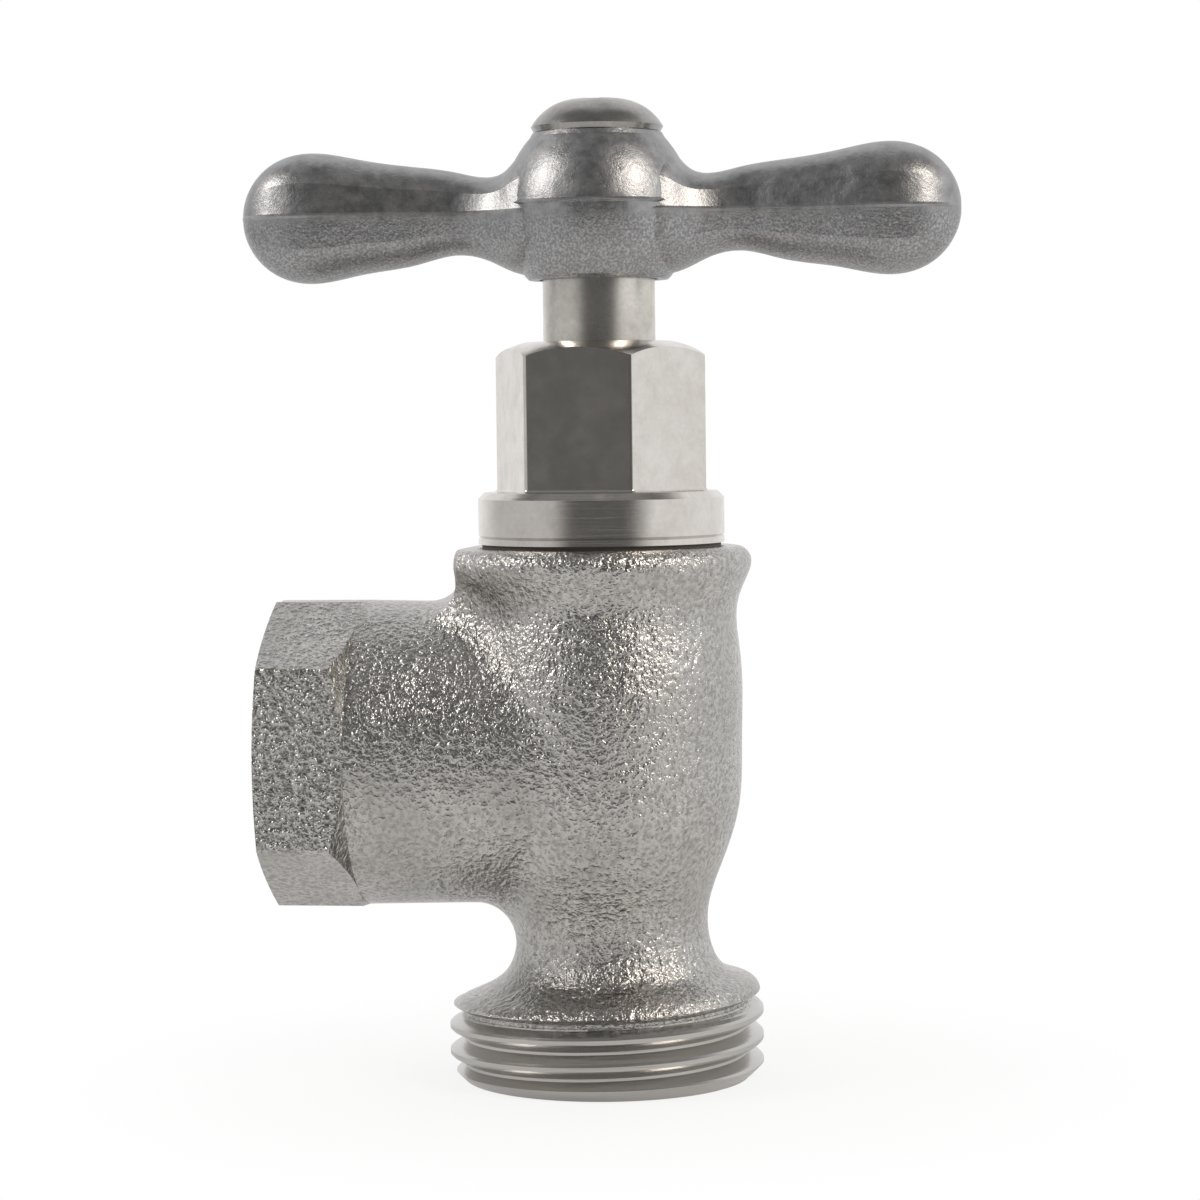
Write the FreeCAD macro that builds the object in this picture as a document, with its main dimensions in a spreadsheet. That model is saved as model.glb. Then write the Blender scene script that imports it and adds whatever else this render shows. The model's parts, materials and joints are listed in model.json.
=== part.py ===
import FreeCAD, Part
import math
import os
import re
import Sketcher

# A hose bibb of the angle pattern, in millimetres and at rest closed.
# The origin is the middle of the inlet's mouth. +Z runs up along the stem to the handle,
# the mouth faces -X and the stem's axis stands at x = inlet_reach.
# Each piece is drawn about the stem's axis: its own x is 0 there, and its heights are
# measured from the inlet's axis.

SIZES = {
    # Casting: inlet barrel and wrench pad
    "inlet_reach": 27.65,
    "barrel_mouth_d": 26.1,
    "barrel_root_d": 25.3,
    "pad_flats": 26.1,
    "pad_crown": 25.9,
    "pad_length": 7.6,
    "pad_edge_r": 0.4,
    "pad_turn": -2.0,
    "pad_turned": 1.2,
    "mouth_turned": 0.35,
    # Casting: oval sections of the boss, bulb and neck, each with its height, its shift
    # along x, and its half widths across (x) and deep (y)
    "boss_top": 17.5,
    "boss_shift": -0.4,
    "boss_across": 12.6,
    "boss_deep": 12.7,
    "rim_height": 15.1,
    "rim_across": 12.8,
    "rim_deep": 13.0,
    "throat_height": 12.7,
    "throat_across": 11.5,
    "throat_deep": 12.1,
    "chest_height": 8.0,
    "chest_across": 11.72,
    "chest_deep": 12.75,
    "bulb_height": 1.5,
    "bulb_across": 11.77,
    "bulb_deep": 13.0,
    "belly_height": -4.7,
    "belly_across": 11.45,
    "belly_deep": 12.4,
    "taper_height": -9.8,
    "taper_shift": 0.1,
    "taper_across": 9.75,
    "taper_deep": 10.6,
    "neck_height": -14.6,
    "neck_shift": 0.5,
    "neck_across": 8.2,
    "neck_deep": 8.5,
    "flare_height": -18.5,
    "flare_shift": 0.7,
    "flare_across": 9.25,
    "flare_deep": 9.3,
    "lip_height": -20.75,
    "lip_shift": 0.05,
    "lip_across": 13.05,
    "lip_deep": 13.1,
    "lip_lean": 2.5,
    "skirt_height": -22.0,
    "skirt_across": 13.08,
    "skirt_deep": 13.12,
    "rim_edge_r": 1.3,
    "rim_flat_x": 11.5,
    "saddle_r": 3.4,
    # Turned outlet, 3/4-11.5 hose thread
    "outlet_d": 26.8,
    "outlet_top": -21.4,
    "outlet_end": -27.7,
    "outlet_chamfer": 1.2,
    "outlet_bore_d": 18.0,
    "outlet_bore_depth": 7.0,
    "hose_pitch": 2.209,
    "hose_depth": 1.25,
    "hose_root_half": 0.12,
    "hose_crest_ease": 0.2,
    "hose_start": -21.0,
    "hose_turns": 4,
    # Bored inlet, 1/2-14 pipe thread
    "inlet_bore_d": 18.3,
    "inlet_bore_depth": 15.0,
    "inlet_chamfer": 0.4,
    "pipe_pitch": 1.814,
    "pipe_depth": 1.1,
    "pipe_turns": 7,
    "pipe_taper": 1.79,
    "passage_d": 11.8,
    # Chamber and seat
    "chamber_d": 16.4,
    "seat_height": -6.5,
    "seat_bore_d": 10.0,
    "seat_crown_d": 11.6,
    "seat_rise": 1.2,
    "seat_land": 3.2,
    "seat_slope": 0.5,
    "neck_bore_d": 10.8,
    # Bonnet
    "bonnet_thread_d": 17.5,
    "bonnet_thread_depth": 8.0,
    "collar_d": 20.9,
    "collar_height": 4.35,
    "collar_chamfer": 0.55,
    "collar_groove_height": 0.6,
    "collar_groove_depth": 0.12,
    "hex_flats": 15.9,
    "hex_height": 12.65,
    "hex_turn": 54.0,
    "hex_corner_r": 0.4,
    "hex_foot_r": 0.35,
    "hex_crown_d": 12.4,
    "hex_crown_drop": 1.45,
    "hex_crown_bulge": 0.2,
    "gasket_thick": 0.35,
    "gasket_inset": 0.3,
    # Stem and its lift thread
    "stem_d": 9.5,
    "stem_show": 5.25,
    "lift_thread_d": 12.7,
    "lift_thread_length": 8.0,
    "lift_pitch": 2.54,
    "lift_depth": 1.25,
    "lift_root_half": 0.47,
    "lift_travel": 6.35,
    "lift_relief": 2.8,
    "lift_turns": 6,
    "lift_stop_height": 22.35,
    "waist_d": 8.4,
    "foot_d": 9.6,
    "foot_height": 7.0,
    "drive_flats": 7.0,
    "drive_corner_d": 9.0,
    "drive_short": 0.7,
    "drive_recess": 1.2,
    # Seals
    "ring_groove_depth": 1.4,
    "ring_groove_width": 2.4,
    "ring_low_offset": 1.4,
    "ring_spacing": 3.2,
    "ring_width": 1.9,
    "ring_flat": 0.5,
    # Swivel holder, clip, washer and screw
    "holder_d": 14.0,
    "holder_thick": 1.4,
    "holder_rim": 1.7,
    "holder_wall": 0.4,
    "spigot_d": 6.0,
    "spigot_length": 6.0,
    "clip_thick": 0.7,
    "clip_bite": 0.45,
    "clip_height": 3.4,
    "clip_gap": 1.6,
    "washer_thick": 3.0,
    "washer_screw_d": 3.5,
    "washer_screw_length": 7.5,
    "washer_head_d": 6.4,
    "washer_head_height": 1.5,
    "slot_width": 0.9,
    # Tee handle
    "hub_height": 12.3,
    "hub_top_d": 11.0,
    "hub_crown_d": 11.4,
    "hub_crown_drop": 0.35,
    "hub_shoulder_d": 14.6,
    "hub_shoulder_drop": 2.8,
    "hub_belt_d": 16.4,
    "hub_belt_height": 6.3,
    "hub_foot_d": 12.4,
    "hub_round": 0.35,
    "arm_height": 5.6,
    "arm_root_x": 5.0,
    "arm_root_up": 5.5,
    "arm_root_down": 5.5,
    "arm_root_deep": 6.0,
    "arm_flare_x": 7.6,
    "arm_flare_up": 3.85,
    "arm_flare_down": 4.7,
    "arm_flare_deep": 4.8,
    "arm_neck_x": 9.4,
    "arm_neck_up": 3.2,
    "arm_neck_down": 3.85,
    "arm_neck_deep": 3.75,
    "arm_scoop_x": 12.2,
    "arm_scoop_up": 3.7,
    "arm_scoop_down": 3.35,
    "arm_scoop_deep": 3.15,
    "arm_grip_x": 15.6,
    "arm_grip_up": 4.2,
    "arm_grip_down": 4.1,
    "arm_grip_deep": 3.5,
    "arm_swell_x": 20.3,
    "arm_swell_up": 4.9,
    "arm_swell_down": 4.85,
    "arm_swell_deep": 4.1,
    "arm_lobe_x": 24.9,
    "arm_lobe_up": 5.55,
    "arm_lobe_down": 5.55,
    "arm_lobe_deep": 4.6,
    "arm_tip_reach": 5.7,
    "flank_share": 0.5,
    "flank_draft": 0.12,
    "flash_rise": 0.2,
    "flash_half": 0.2,
    # Handle screw
    "screw_d": 4.2,
    "screw_length": 8.0,
    "screw_head_d": 11.2,
    "screw_head_height": 2.85,
    "screw_head_flat_d": 4.4,
    "screw_head_lip": 0.55,
    "screw_dome_round": 0.35,
    "recess_length": 5.2,
    "recess_width": 1.1,
    "recess_depth": 1.5,
    # Clearances
    "pad_fit": 0.02,
    "running_fit": 0.05,
    "thread_fit": 0.08,
    "lift_fit": 0.15,
    "lift_side_fit": 0.12,
    "stop_gap": 0.1,
    "seal_gap": 0.02,
    "loose_fit": 0.3,
    "thread_lead": 0.6,
    "bore_lead": 0.4,
    "cut_over": 1.0,
    "helix_over": 0.1,
}

# The heights that several pieces share, each worked out from the sizes above
GASKET_TOP = "boss_top + gasket_thick"
COLLAR_TOP = f"{GASKET_TOP} + collar_height"
HEX_TOP = f"{COLLAR_TOP} + hex_height"
HANDLE_BOTTOM = f"{HEX_TOP} + stem_show"
HANDLE_TOP = f"{HANDLE_BOTTOM} + hub_height"
DRIVE_SHOULDER = f"{HANDLE_BOTTOM} + drive_recess"
BONNET_FOOT = "boss_top - bonnet_thread_depth"
LIFT_TOP = "lift_stop_height - lift_travel - stop_gap"
LIFT_FOOT = f"{LIFT_TOP} - lift_thread_length"
HOLDER_BOTTOM = "seat_height + washer_thick"
HOLDER_TOP = f"{HOLDER_BOTTOM} + holder_thick"
STEM_FOOT = f"{HOLDER_TOP} + running_fit"
CLIP_MIDDLE = f"{STEM_FOOT} + clip_height"
LOW_RING = f"{LIFT_TOP} + stop_gap + ring_low_offset"
HIGH_RING = f"{LOW_RING} + ring_spacing"

# Axes that a sketch swings about: one lowers its side towards the inlet
LOWER_AT_INLET = (0, -1, 0)
IN_PLANE = (0, 0, 1)

ARM_MIDDLE = f"{HANDLE_BOTTOM} + arm_height"
ARM_TIP_ANGLES = (32, 55, 72, 84)
THREAD_FLAT = 0.07
FLANK_TAN = math.tan(math.radians(30))
LIFT_FLANK_TAN = math.tan(math.radians(14.5))

doc = FreeCAD.newDocument("hose_bibb")
sheet = doc.addObject("Spreadsheet::Sheet", "Dims")


def fill_sheet():
    """Each size gets a row of the sheet, its name beside its number."""
    for row, (name, number) in enumerate(SIZES.items(), start=1):
        sheet.set(f"A{row}", name)
        sheet.set(f"B{row}", str(number))
        sheet.setAlias(f"B{row}", name)
    doc.recompute()


def bound(text):
    """The expression with each size's name pointed at its cell. Every name has an underscore."""
    return re.sub(r"[a-z]+(?:_[a-z]+)+", lambda found: "Dims." + found.group(), str(text))


def value(text):
    """The number that an expression has now."""
    number = sheet.evalExpression(bound(text))
    return float(getattr(number, "Value", number))


def spot(x, y):
    return FreeCAD.Vector(value(x), value(y), 0)


def new_body(label):
    """A piece drawn about the stem's axis."""
    body = doc.addObject("PartDesign::Body", label)
    body.Label = label
    body.setExpression("Placement.Base.x", bound("inlet_reach"))
    return body


def new_sketch(body, name, role="XZ_Plane", offset=None):
    """A sketch on one of the body's own planes, or parallel to it."""
    sketch = body.newObject("Sketcher::SketchObject", name)
    plane = next(part for part in body.Origin.OriginFeatures if part.Role == role)
    sketch.AttachmentSupport = [(plane, "")]
    sketch.MapMode = "FlatFace"
    if offset is not None:
        sketch.setExpression("AttachmentOffset.Base.z", bound(offset))
    return sketch


def swing(sketch, angle, axis):
    """Swings a sketch about an axis of its own frame."""
    turn = FreeCAD.Rotation(FreeCAD.Vector(axis), value(angle))
    sketch.AttachmentOffset = FreeCAD.Placement(sketch.AttachmentOffset.Base, turn)
    sketch.setExpression("AttachmentOffset.Rotation.Angle", bound(angle))


def hold(sketch, kind, *where, size):
    """A dimension that follows its expression."""
    index = sketch.addConstraint(Sketcher.Constraint(kind, *where, value(size)))
    sketch.setExpression(f"Constraints[{index}]", bound(size))


def pin(sketch, edge, end, x, y):
    """Holds one point of the sketch at x, y."""
    for kind, axis, place in (("DistanceX", -2, x), ("DistanceY", -1, y)):
        if place == "0":
            sketch.addConstraint(Sketcher.Constraint("PointOnObject", edge, end, axis))
        else:
            hold(sketch, kind, -1, 1, edge, end, size=place)


def arc_through(start, middle, end):
    """The arc through three points, which a sketch keeps anticlockwise."""
    circle = Part.Circle(start, middle, end)
    centre = circle.Center
    turn = (middle - start).cross(end - middle).z
    first, last = (start, end) if turn > 0 else (end, start)
    angles = [math.atan2(point.y - centre.y, point.x - centre.x) for point in (first, last)]
    if angles[1] <= angles[0]:
        angles[1] += 2 * math.pi
    upright = Part.Circle(centre, FreeCAD.Vector(0, 0, 1), circle.Radius)
    return Part.ArcOfCircle(upright, *angles)


def outline(sketch, corners, bulges=None):
    """A closed outline. bulges gives, by the side's number, a point that its arc passes."""
    bulges = bulges or {}
    points = [spot(*corner) for corner in corners]
    sides = []
    for number, start in enumerate(points):
        end = points[(number + 1) % len(points)]
        if number in bulges:
            curve = arc_through(start, spot(*bulges[number]), end)
        else:
            curve = Part.LineSegment(start, end)
        side = sketch.addGeometry(curve)
        at_start = (sketch.getPoint(side, 1) - start).Length < (sketch.getPoint(side, 1) - end).Length
        sides.append((side, 1, 2) if at_start else (side, 2, 1))
    for number, (side, head, tail) in enumerate(sides):
        after, after_head, _ = sides[(number + 1) % len(sides)]
        sketch.addConstraint(Sketcher.Constraint("Coincident", side, tail, after, after_head))
        pin(sketch, side, head, *corners[number])
    for number, place in bulges.items():
        guide = sketch.addGeometry(Part.Point(spot(*place)), True)
        pin(sketch, guide, 1, *place)
        on_arc = Sketcher.Constraint("PointOnObject", guide, 1, sides[number][0])
        sketch.addConstraint(on_arc)


def oval(sketch, centre_x, half_across, half_deep):
    """An ellipse, longer along the sketch's second axis."""
    centre = spot(centre_x, "0")
    far = centre + FreeCAD.Vector(0, value(half_deep), 0)
    near = centre - FreeCAD.Vector(value(half_across), 0, 0)
    edge = sketch.addGeometry(Part.Ellipse(far, near, centre))
    sketch.exposeInternalGeometry(edge)
    pin(sketch, edge, 3, centre_x, "0")
    long_axis, short_axis = edge + 1, edge + 2
    sketch.addConstraint(Sketcher.Constraint("Vertical", long_axis))
    hold(sketch, "Distance", long_axis, size=f"2 * ({half_deep})")
    hold(sketch, "Distance", short_axis, size=f"2 * ({half_across})")


def rounded_polygon(flats, turn, radius, count=6):
    """A regular polygon's corners, each cut to an arc, and the arcs' middles by the side's number."""
    half_angle = 180 / count
    reach = f"({flats}) / 2 / cos({half_angle})"
    back_off = f"({radius}) * tan({half_angle})"
    inset = f"({radius}) * (1 / cos({half_angle}) - 1)"
    middle = f"({reach} - {inset})"
    corners, bulges = [], {}
    for number in range(count):
        angle = f"{turn} + {number * 2 * half_angle}"
        bulges[len(corners)] = (f"{middle} * cos({angle})", f"{middle} * sin({angle})")
        for side_angle in (f"({angle} - 90 - {half_angle})", f"({angle} + 90 + {half_angle})"):
            x = f"{reach} * cos({angle}) + {back_off} * cos{side_angle}"
            y = f"{reach} * sin({angle}) + {back_off} * sin{side_angle}"
            corners.append((x, y))
    return corners, bulges


def feature(body, kind, name, profile, **settings):
    """A feature on a sketch, which it hides."""
    made = body.newObject(f"PartDesign::{kind}", name)
    made.Profile = profile
    for setting, given in settings.items():
        setattr(made, setting, given)
    return made


def turned(body, name, corners, bulges=None, cut=False, axis="V_Axis"):
    """Turns an outline about the stem's axis, or about the inlet's with axis H_Axis."""
    sketch = new_sketch(body, f"{name}_outline")
    outline(sketch, corners, bulges)
    kind = "Groove" if cut else "Revolution"
    return feature(body, kind, name, sketch, ReferenceAxis=(sketch, [axis]), Angle=360)


def padded(body, name, sketch, length, **settings):
    """Pads a sketch by a length that follows its expression."""
    made = feature(body, "Pad", name, sketch, **settings)
    made.setExpression("Length", bound(length))
    return made


def pocketed(body, name, sketch, length, **settings):
    """Cuts a sketch's shape out of the body by a length that follows its expression."""
    made = feature(body, "Pocket", name, sketch, **settings)
    made.setExpression("Length", bound(length))
    return made


def screw_thread(body, name, corners, pitch, length, axis="V_Axis", taper="0", up=True):
    """Cuts a right-hand thread with the outline of one groove, starting in the plane y = 0."""
    sketch = new_sketch(body, f"{name}_groove")
    outline(sketch, corners)
    settings = {"ReferenceAxis": (sketch, [axis]), "Mode": "pitch-height-angle"}
    made = feature(body, "SubtractiveHelix", name, sketch, **settings, Reversed=not up)
    made.setExpression("Pitch", bound(pitch))
    made.setExpression("Height", bound(length))
    made.setExpression("Angle", bound(taper))
    return made


def rounded(body, name, base, radius, wanted):
    """Fillets the edges of the feature that wanted picks."""
    doc.recompute()
    picked = [f"Edge{number}" for number, edge in enumerate(base.Shape.Edges, 1) if wanted(edge)]
    made = body.newObject("PartDesign::Fillet", name)
    made.Base = (base, picked)
    made.setExpression("Radius", bound(radius))
    return made


def level(edge, height, near=0.02):
    """Whether the whole edge lies at this height above the inlet's axis."""
    box = edge.BoundBox
    place = value(height)
    return abs(box.ZMin - place) < near and abs(box.ZMax - place) < near


def add_casting(body):
    """Boss, bulb and neck as one smooth skin through oval sections."""
    names = ("boss", "rim", "throat", "chest", "bulb", "belly", "taper", "neck", "flare", "lip", "skirt")
    heights = {"boss": "boss_top"}
    shifts = {"boss": "boss_shift", "rim": "boss_shift"}
    leans = {"flare": "lip_lean / 2", "lip": "lip_lean"}
    sections = []
    for name in names:
        height = heights.get(name, f"{name}_height")
        shift = shifts.get(name, f"{name}_shift" if f"{name}_shift" in SIZES else "0")
        sketch = new_sketch(body, f"{name}_section", "XY_Plane", height)
        oval(sketch, shift, f"{name}_across", f"{name}_deep")
        if name in leans:
            swing(sketch, leans[name], LOWER_AT_INLET)
        sections.append(sketch)
    return feature(body, "AdditiveLoft", "skin", sections[0], Sections=sections[1:])


def add_rim_flat(body):
    """The side of the boss above the barrel is ground flat."""
    sketch = new_sketch(body, "rim_flat_outline")
    side, top = "-rim_flat_x", "boss_top + cut_over"
    outline(sketch, [(side, "0"), (side, top), ("-2 * rim_flat_x", top), ("-2 * rim_flat_x", "0")])
    return pocketed(body, "rim_flat", sketch, "4 * rim_flat_x", Midplane=True)


def add_barrel(body):
    """The inlet barrel, straight under the pad and slightly smaller towards the stem."""
    mouth, root = "barrel_mouth_d / 2", "barrel_root_d / 2"
    corners = [
        ("-inlet_reach", "0"),
        ("-inlet_reach", mouth),
        ("-inlet_reach + pad_length", mouth),
        ("0", root),
        ("0", "0"),
    ]
    return turned(body, "barrel", corners, axis="H_Axis")


def add_pad(body):
    """The wrench hexagon at the mouth, its crown and keel ground flat."""
    sketch = new_sketch(body, "pad_outline", "YZ_Plane", "-inlet_reach")
    side = "pad_flats / 2"
    knee = "pad_flats / 2 * tan(30)"
    crown = "pad_crown / 2"
    crown_half = "(pad_flats * tan(30) - pad_crown / 2) * sqrt(3)"
    right = [(side, f"-({knee})"), (side, knee), (crown_half, crown)]
    left = [(f"-({x})", y) for x, y in reversed(right)]
    corners = right + left + [(f"-({crown_half})", f"-({crown})"), (crown_half, f"-({crown})")]
    outline(sketch, corners)
    swing(sketch, "pad_turn", IN_PLANE)
    return padded(body, "pad", sketch, "pad_length")


def turn_pad_corners(body):
    """The pad's back corners are turned off in a cone, down to the barrel."""
    end = "-inlet_reach + pad_length"
    corner = "pad_flats / 2 / cos(30)"
    wall = "barrel_mouth_d / 2 + pad_fit"
    corners = [
        (f"{end} - pad_turned", corner),
        (end, wall),
        (f"{end} + cut_over", wall),
        (f"{end} + cut_over", f"{corner} + cut_over"),
        (f"{end} - pad_turned", f"{corner} + cut_over"),
    ]
    return turned(body, "pad_cone", corners, cut=True, axis="H_Axis")


def turn_mouth(body):
    """The pad's front corners are faced off in a flat cone round the mouth."""
    mouth = "-inlet_reach"
    corner = "pad_flats / 2 / cos(30)"
    wall = "barrel_mouth_d / 2 + pad_fit"
    corners = [
        (mouth, wall),
        (f"{mouth} + mouth_turned", corner),
        (f"{mouth} + mouth_turned", f"{corner} + cut_over"),
        (f"{mouth} - cut_over", f"{corner} + cut_over"),
        (f"{mouth} - cut_over", wall),
    ]
    return turned(body, "mouth_cone", corners, cut=True, axis="H_Axis")


def is_rim(edge):
    """Whether the edge is the boss's round rim. The top of the ground flat stays sharp."""
    return level(edge, "boss_top") and edge.BoundBox.XLength > value("rim_edge_r")


def is_saddle(edge):
    """Whether the edge is in the seam where the barrel meets the bulb and the boss's flat."""
    box = edge.BoundBox
    near_stem = box.XMin > -value("inlet_reach") / 2 and box.XMax < 0
    on_flat = abs(box.XMin + value("rim_flat_x")) < 0.02 and box.XLength < 0.02
    foot_of_flat = on_flat and box.ZMax < value("barrel_mouth_d / 2")
    return near_stem and (foot_of_flat or box.YLength > value("barrel_root_d / 2"))


def is_pad_corner(edge):
    """Whether the edge runs along the pad between two of its faces."""
    at_mouth = abs(edge.BoundBox.XMin + value("inlet_reach")) < 0.02
    return at_mouth and abs(edge.BoundBox.XLength - value("pad_length")) < 0.02


def add_outlet(body):
    """The turned cylinder that carries the hose thread."""
    edge, tip = "outlet_d / 2", "outlet_d / 2 - outlet_chamfer"
    end = "outlet_end"
    corners = [
        ("0", "outlet_top"),
        (edge, "outlet_top"),
        (edge, f"{end} + outlet_chamfer"),
        (tip, end),
        ("0", end),
    ]
    return turned(body, "outlet", corners)


def add_waterway(body):
    """From the top: bonnet thread, chamber, seat, neck bore and the wide outlet."""
    thread, chamber = "bonnet_thread_d / 2 + thread_fit", "chamber_d / 2"
    seat, neck, wide = "seat_bore_d / 2", "neck_bore_d / 2", "outlet_bore_d / 2"
    thread_end = f"{BONNET_FOOT} - cut_over"
    floor = "seat_height - seat_rise"
    wide_top = "outlet_end + outlet_bore_depth"
    corners = [
        ("0", "boss_top + cut_over"),
        (thread, "boss_top + cut_over"),
        (thread, thread_end),
        (chamber, f"{thread_end} - ({thread} - {chamber})"),
        (chamber, floor),
        ("seat_crown_d / 2 + seat_slope", floor),
        ("seat_crown_d / 2", "seat_height"),
        (seat, "seat_height"),
        (seat, "seat_height - seat_land"),
        (neck, f"seat_height - seat_land - ({neck} - {seat})"),
        (neck, f"{wide_top} + {wide} - {neck}"),
        (wide, wide_top),
        (wide, "outlet_end - cut_over"),
        ("0", "outlet_end - cut_over"),
    ]
    return turned(body, "waterway", corners, cut=True)


def add_inlet_bore(body):
    """The pipe's bore from the mouth, then the narrower passage into the chamber."""
    bore, passage = "inlet_bore_d / 2", "passage_d / 2"
    mouth = "-inlet_reach"
    bottom = f"{mouth} + inlet_bore_depth"
    corners = [
        (f"{mouth} - cut_over", "0"),
        (f"{mouth} - cut_over", f"{bore} + inlet_chamfer + cut_over"),
        (f"{mouth} + inlet_chamfer", bore),
        (bottom, bore),
        (f"{bottom} + ({bore} - {passage}) / 2", passage),
        ("0", passage),
        ("0", "0"),
    ]
    return turned(body, "inlet_bore", corners, cut=True, axis="H_Axis")


def vee_half(depth):
    """Half the width of a 60 degree groove where it leaves the wall, a little past it."""
    return f"({THREAD_FLAT} + ({depth} + helix_over) * {FLANK_TAN})"


def add_hose_thread(body):
    """Cut from below the end up into the flare, where it runs out by itself."""
    tip = "outlet_d / 2 - hose_depth"
    knee = "outlet_d / 2 - hose_crest_ease"
    base = "outlet_d / 2 + helix_over"
    knee_half = f"(hose_root_half + (hose_depth - hose_crest_ease) * {FLANK_TAN})"
    base_half = f"({knee_half} + hose_crest_ease + helix_over)"
    start = "hose_start - hose_turns * hose_pitch"
    corners = [
        (tip, f"{start} - hose_root_half"),
        (knee, f"{start} - {knee_half}"),
        (base, f"{start} - {base_half}"),
        (base, f"{start} + {base_half}"),
        (knee, f"{start} + {knee_half}"),
        (tip, f"{start} + hose_root_half"),
    ]
    turns = "(hose_turns + 1) * hose_pitch"
    return screw_thread(body, "hose_thread", corners, "hose_pitch", turns)


def add_pipe_thread(body):
    """Cut from the mouth inwards on a cone, so that it grows shallower."""
    tip = "inlet_bore_d / 2 + pipe_depth"
    base = "inlet_bore_d / 2 - helix_over"
    wide = vee_half("pipe_depth")
    start = "-inlet_reach - pipe_pitch"
    corners = [
        (f"{start} - {THREAD_FLAT}", tip),
        (f"{start} - {wide}", base),
        (f"{start} + {wide}", base),
        (f"{start} + {THREAD_FLAT}", tip),
    ]
    turns = "pipe_turns * pipe_pitch"
    return screw_thread(body, "pipe_thread", corners, "pipe_pitch", turns, "H_Axis", "-pipe_taper")


def make_valve_body():
    body = new_body("valve_body")
    add_casting(body)
    flat = add_rim_flat(body)
    rounded(body, "rim_edge", flat, "rim_edge_r", is_rim)
    barrel = add_barrel(body)
    rounded(body, "saddle", barrel, "saddle_r", is_saddle)
    pad = add_pad(body)
    rounded(body, "pad_corners", pad, "pad_edge_r", is_pad_corner)
    turn_pad_corners(body)
    turn_mouth(body)
    add_outlet(body)
    add_waterway(body)
    add_inlet_bore(body)
    add_hose_thread(body)
    add_pipe_thread(body)
    return body


def ring_outline(inner, outer, bottom, top):
    """The corners of a plain ring's section."""
    return [(inner, bottom), (outer, bottom), (outer, top), (inner, top)]


def add_shank_and_collar(body):
    """The shank in the casting's bore and the collar above it, with a fine groove near its foot."""
    thread, collar = "bonnet_thread_d / 2", "collar_d / 2"
    groove = f"{GASKET_TOP} + collar_groove_height"
    corners = [
        ("0", BONNET_FOOT),
        (f"{thread} - thread_lead", BONNET_FOOT),
        (thread, f"{BONNET_FOOT} + thread_lead"),
        (thread, GASKET_TOP),
        (collar, GASKET_TOP),
        (collar, f"{groove} - collar_groove_depth"),
        (f"{collar} - collar_groove_depth", groove),
        (collar, f"{groove} + collar_groove_depth"),
        (collar, f"{COLLAR_TOP} - collar_chamfer"),
        (f"{collar} - collar_chamfer", COLLAR_TOP),
        ("0", COLLAR_TOP),
    ]
    return turned(body, "shank_and_collar", corners)


def add_hexagon(body):
    """The wrench hexagon, its crown turned to a dome and its foot rounded into the collar."""
    sketch = new_sketch(body, "hexagon_outline", "XY_Plane", COLLAR_TOP)
    outline(sketch, *rounded_polygon("hex_flats", "hex_turn", "hex_corner_r"))
    hexagon = padded(body, "hexagon", sketch, "hex_height")
    side = value("hex_flats / sqrt(3)")
    is_foot = lambda edge: level(edge, COLLAR_TOP) and edge.Length < side
    rounded(body, "hexagon_foot", hexagon, "hex_foot_r", is_foot)
    crown, rim = "hex_crown_d / 2", "hex_flats / sqrt(3) + hex_crown_bulge"
    corners = [
        (crown, HEX_TOP),
        (rim, f"{HEX_TOP} - hex_crown_drop"),
        (rim, f"{HEX_TOP} + cut_over"),
        (crown, f"{HEX_TOP} + cut_over"),
    ]
    middle = f"({crown} + {rim}) / 2 + hex_crown_bulge / 2"
    bulge = (middle, f"{HEX_TOP} - hex_crown_drop / 2 + hex_crown_bulge")
    return turned(body, "hexagon_crown", corners, {0: bulge}, cut=True)


def add_bonnet_bore(body):
    """From below: the lift thread's bore, its relief, and the close bore round the stem."""
    nut = "lift_thread_d / 2 - lift_depth + lift_fit"
    relief = "lift_thread_d / 2 + lift_fit"
    stem = "stem_d / 2 + running_fit"
    corners = [
        ("0", f"{BONNET_FOOT} - cut_over"),
        (nut, f"{BONNET_FOOT} - cut_over"),
        (nut, "lift_stop_height - lift_relief"),
        (relief, "lift_stop_height - lift_relief"),
        (relief, "lift_stop_height"),
        (stem, "lift_stop_height"),
        (stem, f"{HEX_TOP} - bore_lead"),
        (f"{stem} + bore_lead", HEX_TOP),
        (f"{stem} + bore_lead", f"{HEX_TOP} + cut_over"),
        ("0", f"{HEX_TOP} + cut_over"),
    ]
    return turned(body, "bonnet_bore", corners, cut=True)


def lift_groove(base, tip, base_half, tip_half, middle):
    """The corners of one groove of the lift thread."""
    return [
        (tip, f"{middle} - ({tip_half})"),
        (base, f"{middle} - ({base_half})"),
        (base, f"{middle} + {base_half}"),
        (tip, f"{middle} + {tip_half}"),
    ]


def add_nut_thread(body):
    """The bonnet's lift thread, open by the lift fits round the stem's."""
    base = "lift_thread_d / 2 - lift_depth + lift_fit - helix_over"
    tip = "lift_thread_d / 2 + lift_fit"
    middle = f"{LIFT_FOOT} + lift_pitch / 2 - 2 * lift_pitch"
    flank = LIFT_FLANK_TAN
    base_half = f"lift_pitch / 2 - lift_root_half + lift_side_fit - (lift_fit - helix_over) * {flank}"
    tip_half = f"{base_half} - (lift_depth + helix_over) * {flank}"
    corners = lift_groove(base, tip, base_half, tip_half, middle)
    return screw_thread(body, "nut_thread", corners, "lift_pitch", "lift_turns * lift_pitch")


def make_bonnet():
    body = new_body("bonnet")
    add_shank_and_collar(body)
    add_hexagon(body)
    add_bonnet_bore(body)
    add_nut_thread(body)
    return body


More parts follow.
